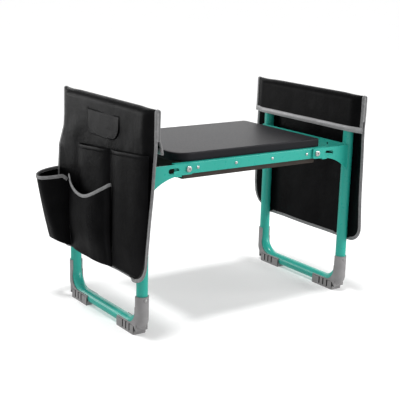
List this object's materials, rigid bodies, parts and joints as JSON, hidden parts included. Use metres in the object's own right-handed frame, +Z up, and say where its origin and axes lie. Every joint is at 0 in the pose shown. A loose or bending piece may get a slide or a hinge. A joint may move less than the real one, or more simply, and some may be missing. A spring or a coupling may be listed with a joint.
{
  "type": "garden kneeler seat",
  "caption": "Folding garden kneeler seat: padded bench between two U-shaped tube legs that hinge under it, with cloth tool pouches over the end bars.",
  "frame": {"origin": "on the floor under the centre of the seat pad", "axes": "+X along the seat towards the plain pouch, -Y the front, +Z up"},
  "size_m": [0.6876, 0.404, 0.49],
  "materials": {
    "teal_paint": "satin",
    "zinc_steel": "satin",
    "nylon": "matte",
    "foot_plastic": "matte",
    "pad_foam": "matte",
    "seat_board": "matte",
    "base_board": "matte",
    "pouch_cloth": "matte",
    "binding_tape": "matte",
    "reflective_band": "matte"
  },
  "bodies": {
    "seat": {"base_board": "base_board", "front_rail": "teal_paint", "front_rail_screws": "zinc_steel", "left_pivot_bolts": "zinc_steel", "left_pivot_nuts": "zinc_steel", "left_pivot_washers": "nylon", "rear_rail": "teal_paint", "rear_rail_screws": "zinc_steel", "right_pivot_bolts": "zinc_steel", "right_pivot_nuts": "zinc_steel", "right_pivot_washers": "nylon", "seat_board": "seat_board", "seat_pad": "pad_foam"},
    "left_leg_frame": {"left_cross_plate": "teal_paint", "left_foot_screws": "zinc_steel", "left_front_foot": "foot_plastic", "left_front_hinge_bracket": "teal_paint", "left_lower_leg_tube": "teal_paint", "left_pouch_band": "reflective_band", "left_pouch_binding": "binding_tape", "left_pouch_cup_pocket": "pouch_cloth", "left_pouch_panel": "pouch_cloth", "left_pouch_scoop_pocket": "pouch_cloth", "left_pouch_tool_pocket": "pouch_cloth", "left_pouch_upper_flap": "pouch_cloth", "left_rear_foot": "foot_plastic", "left_rear_hinge_bracket": "teal_paint", "left_upper_leg_tube": "teal_paint"},
    "right_leg_frame": {"right_cross_plate": "teal_paint", "right_foot_screws": "zinc_steel", "right_front_foot": "foot_plastic", "right_front_hinge_bracket": "teal_paint", "right_lower_leg_tube": "teal_paint", "right_pouch_band": "reflective_band", "right_pouch_binding": "binding_tape", "right_pouch_flat_pocket": "pouch_cloth", "right_pouch_panel": "pouch_cloth", "right_rear_foot": "foot_plastic", "right_rear_hinge_bracket": "teal_paint", "right_upper_leg_tube": "teal_paint"}
  },
  "joints": [
    {"name": "right_leg_fold", "type": "hinge", "parent": "seat", "child": "right_leg_frame", "pos_m": [0.18, 0, 0.355], "axis": [0, 1, 0], "range_deg": [0, 98]},
    {"name": "left_leg_fold", "type": "hinge", "parent": "seat", "child": "left_leg_frame", "pos_m": [-0.18, 0, 0.355], "axis": [0, -1, 0], "range_deg": [0, 76]}
  ]
}
